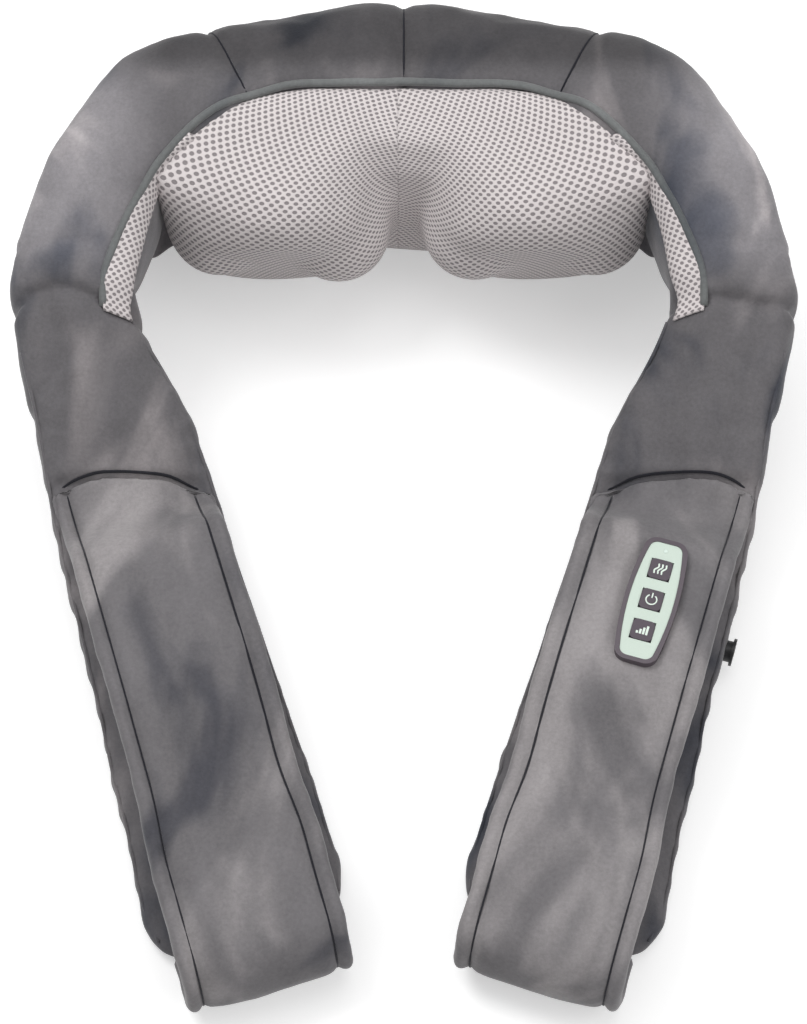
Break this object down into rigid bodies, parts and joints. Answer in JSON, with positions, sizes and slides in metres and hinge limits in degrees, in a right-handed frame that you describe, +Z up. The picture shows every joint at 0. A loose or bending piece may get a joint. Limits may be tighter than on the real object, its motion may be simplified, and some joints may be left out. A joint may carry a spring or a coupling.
{
  "type": "shiatsu neck massager",
  "caption": "U-shaped padded neck massager: kneading nodes behind a mesh panel, two padded arms with hand loops, and a small control panel.",
  "frame": {"origin": "on the floor, in the middle of the plan outline", "axes": "+Z up, +Y from the arms to the collar's back, +X across to the side of the control panel"},
  "size_m": [0.4156, 0.5278, 0.15],
  "materials": {
    "velvet": "short-pile velvet",
    "foam": "polyurethane foam",
    "air_mesh": "air mesh",
    "housing_plastic": "moulded ABS",
    "dark_plastic": "moulded",
    "gear_plastic": "acetal",
    "node_plastic": "translucent silicone over ABS",
    "steel": "turned",
    "motor_steel": "plated",
    "brass": "sintered",
    "circuit_board": "solder mask",
    "red_lens": "tinted clear",
    "rim_plastic": "fine texture",
    "panel_plastic": "satin",
    "button_plastic": "satin",
    "led_plastic": "clear"
  },
  "bodies": {
    "root": {"collar_cover": "velvet", "collar_foam": "foam", "mesh_panel": "air_mesh", "front_shell": "housing_plastic", "rear_shell": "housing_plastic", "main_board": "circuit_board", "board_parts": "dark_plastic", "housing_screws": "steel", "motor_can": "motor_steel", "motor_caps": "dark_plastic", "motor_clamp": "steel", "shaft_bushes": "brass", "left_axle": "steel", "left_heat_board": "circuit_board", "left_heat_lens": "red_lens", "right_axle": "steel", "right_heat_board": "circuit_board", "right_heat_lens": "red_lens"},
    "left_kneader": {"left_worm_wheel": "gear_plastic", "left_kneader_arm": "dark_plastic", "left_hub_screws": "steel", "left_large_nodes": "node_plastic", "left_small_nodes": "node_plastic"},
    "right_kneader": {"right_worm_wheel": "gear_plastic", "right_kneader_arm": "dark_plastic", "right_hub_screws": "steel", "right_large_nodes": "node_plastic", "right_small_nodes": "node_plastic"},
    "rotor": {"rotor_shaft": "steel", "armature": "motor_steel", "left_worm": "brass", "right_worm": "brass"},
    "left_arm": {"left_arm_cover": "velvet", "left_arm_foam": "foam", "left_loop_cover": "velvet", "left_loop_foam": "foam"},
    "right_arm": {"right_arm_cover": "velvet", "right_arm_foam": "foam", "right_loop_cover": "velvet", "right_loop_foam": "foam", "dc_inlet": "dark_plastic", "inlet_pin": "steel", "panel_bezel": "rim_plastic", "panel_face": "panel_plastic", "keypad_board": "circuit_board", "keypad_switches": "dark_plastic", "status_led": "led_plastic", "panel_back": "rim_plastic"},
    "speed_button": {"speed_button": "button_plastic"},
    "power_button": {"power_button": "button_plastic"},
    "heat_button": {"heat_button": "button_plastic"}
  },
  "joints": [
    {"name": "right_kneader_spin", "type": "hinge", "parent": "root", "child": "right_kneader", "pos_m": [0.07, 0.20158, 0.09361], "axis": [0, 0.9272, 0.3746], "continuous": true},
    {"name": "left_kneader_spin", "type": "hinge", "parent": "root", "child": "left_kneader", "pos_m": [-0.07, 0.20158, 0.09361], "axis": [0, 0.9272, 0.3746], "continuous": true},
    {"name": "rotor_spin", "type": "hinge", "parent": "root", "child": "rotor", "pos_m": [0, 0.21563, 0.05884], "axis": [1, 0, 0], "continuous": true},
    {"name": "left_arm_fold", "type": "hinge", "parent": "root", "child": "left_arm", "pos_m": [-0.171, 0.086, 0.084], "axis": [-0.9563, -0.2924, 0], "range_deg": [-20, 35]},
    {"name": "right_arm_fold", "type": "hinge", "parent": "root", "child": "right_arm", "pos_m": [0.171, 0.086, 0.084], "axis": [-0.9563, 0.2924, 0], "range_deg": [-20, 35]},
    {"name": "speed_button_press", "type": "slide", "parent": "right_arm", "child": "speed_button", "axis": [0.0077, 0.0252, -0.9997], "range_m": [0, 0.0005], "stiffness_N_per_m": 400},
    {"name": "power_button_press", "type": "slide", "parent": "right_arm", "child": "power_button", "axis": [0.0077, 0.0252, -0.9997], "range_m": [0, 0.0005], "stiffness_N_per_m": 400},
    {"name": "heat_button_press", "type": "slide", "parent": "right_arm", "child": "heat_button", "axis": [0.0077, 0.0252, -0.9997], "range_m": [0, 0.0005], "stiffness_N_per_m": 400}
  ],
  "couplings": [
    {"joint": "left_kneader_spin", "follows": "right_kneader_spin", "ratio": -1},
    {"joint": "rotor_spin", "follows": "right_kneader_spin", "ratio": 40}
  ]
}
